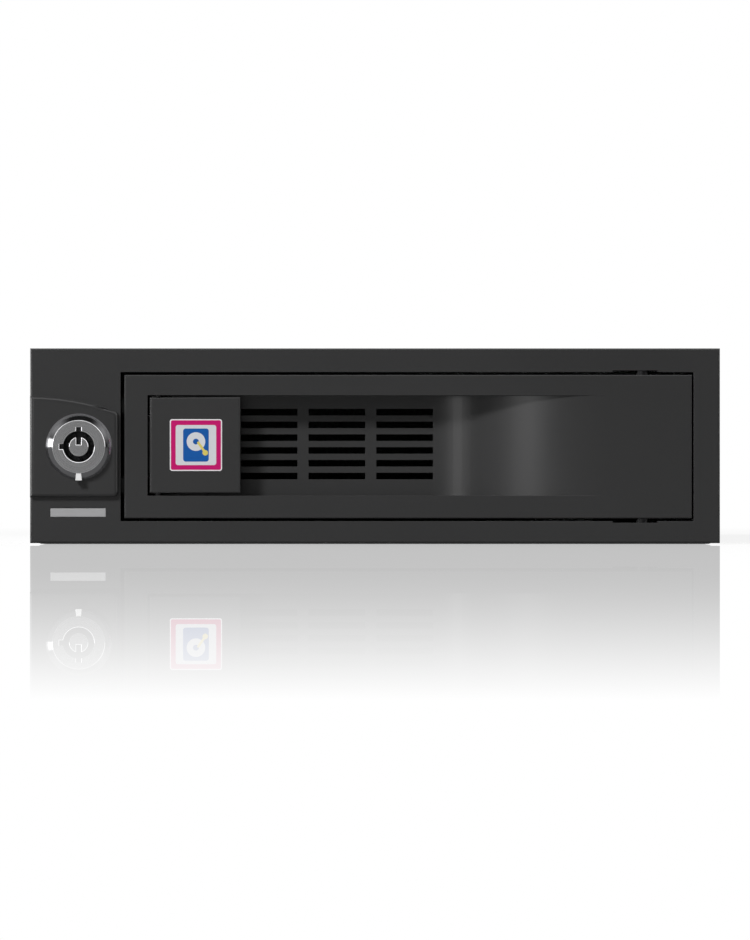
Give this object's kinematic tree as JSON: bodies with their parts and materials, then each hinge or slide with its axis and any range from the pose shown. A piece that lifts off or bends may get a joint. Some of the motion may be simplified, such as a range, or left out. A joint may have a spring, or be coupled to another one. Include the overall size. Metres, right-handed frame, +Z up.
{
  "type": "hot swap drive cage",
  "caption": "Trayless hot swap cage for a 3.5 inch drive in a half height 5.25 inch bay: hinged front door with pull latch and key lock, guide rails, backplane and rear fan.",
  "frame": {"origin": "on the surface that the cage stands on, at the middle of its width and depth", "axes": "+X to the right seen from the front, +Y to the back, +Z up"},
  "size_m": [0.148, 0.1906, 0.042],
  "materials": {
    "front_plastic": "fine textured black moulding",
    "case_steel": "zinc plated sheet",
    "plated_steel": "bright plated",
    "lock_chrome": "polished, disc face satin",
    "spring_steel": "blue grey strip",
    "inner_plastic": "plain black moulding",
    "connector_plastic": "black liquid crystal polymer",
    "power_plastic": "natural nylon",
    "contact_metal": "gold flashed",
    "board_laminate": "green solder mask",
    "component_black": "moulded packages",
    "light_guide": "frosted clear",
    "bumper_rubber": "soft pad",
    "label_film": "printed film"
  },
  "bodies": {
    "chassis": {"chassis_tray": "case_steel", "top_cover": "case_steel", "rear_panel": "case_steel", "front_bezel": "front_plastic", "hinge_pins": "plated_steel", "lock_housing": "lock_chrome", "lock_nut": "plated_steel", "light_pipe": "light_guide", "pipe_clips": "inner_plastic", "status_leds": "light_guide", "rail_left": "inner_plastic", "rail_right": "inner_plastic", "rail_springs": "spring_steel", "slide_rivets": "plated_steel", "backplane_board": "board_laminate", "board_brackets": "case_steel", "drive_connector": "connector_plastic", "connector_contacts": "contact_metal", "data_port": "connector_plastic", "power_port": "power_plastic", "power_pins": "contact_metal", "board_parts": "component_black", "fan_header": "connector_plastic", "fan_frame": "inner_plastic"},
    "door": {"door_panel": "front_plastic", "lock_keeper": "plated_steel", "drive_bumpers": "bumper_rubber", "latch_pin": "plated_steel", "latch_spring": "spring_steel"},
    "latch": {"latch_paddle": "front_plastic", "latch_label": "label_film"},
    "lock_plug": {"lock_plug": "lock_chrome", "lock_cam": "plated_steel"},
    "ejector": {"ejector_slide": "case_steel", "ejector_pin": "plated_steel"},
    "fan_rotor": {"fan_impeller": "inner_plastic"}
  },
  "joints": [
    {"name": "door_hinge", "type": "hinge", "parent": "chassis", "child": "door", "pos_m": [0.0574, -0.0896, 0.0209], "axis": [0, 0, 1], "range_deg": [0, 95]},
    {"name": "latch_pivot", "type": "hinge", "parent": "door", "child": "latch", "pos_m": [-0.04674, -0.0905, 0.0212], "axis": [0, 0, -1], "range_deg": [0, 20], "stiffness_Nm_per_rad": 0.02, "springref_deg": -17.19},
    {"name": "lock_turn", "type": "hinge", "parent": "chassis", "child": "lock_plug", "pos_m": [-0.06344, -0.0921, 0.0209], "axis": [0, -1, 0], "range_deg": [0, 90]},
    {"name": "fan_spin", "type": "hinge", "parent": "chassis", "child": "fan_rotor", "pos_m": [-0.031, 0.0879, 0.02065], "axis": [0, 1, 0], "continuous": true},
    {"name": "eject_slide", "type": "slide", "parent": "chassis", "child": "ejector", "axis": [0, -1, 0], "range_m": [0, 0.007]}
  ],
  "couplings": [
    {"joint": "eject_slide", "follows": "door_hinge", "m_per_rad": 0.0042218}
  ]
}
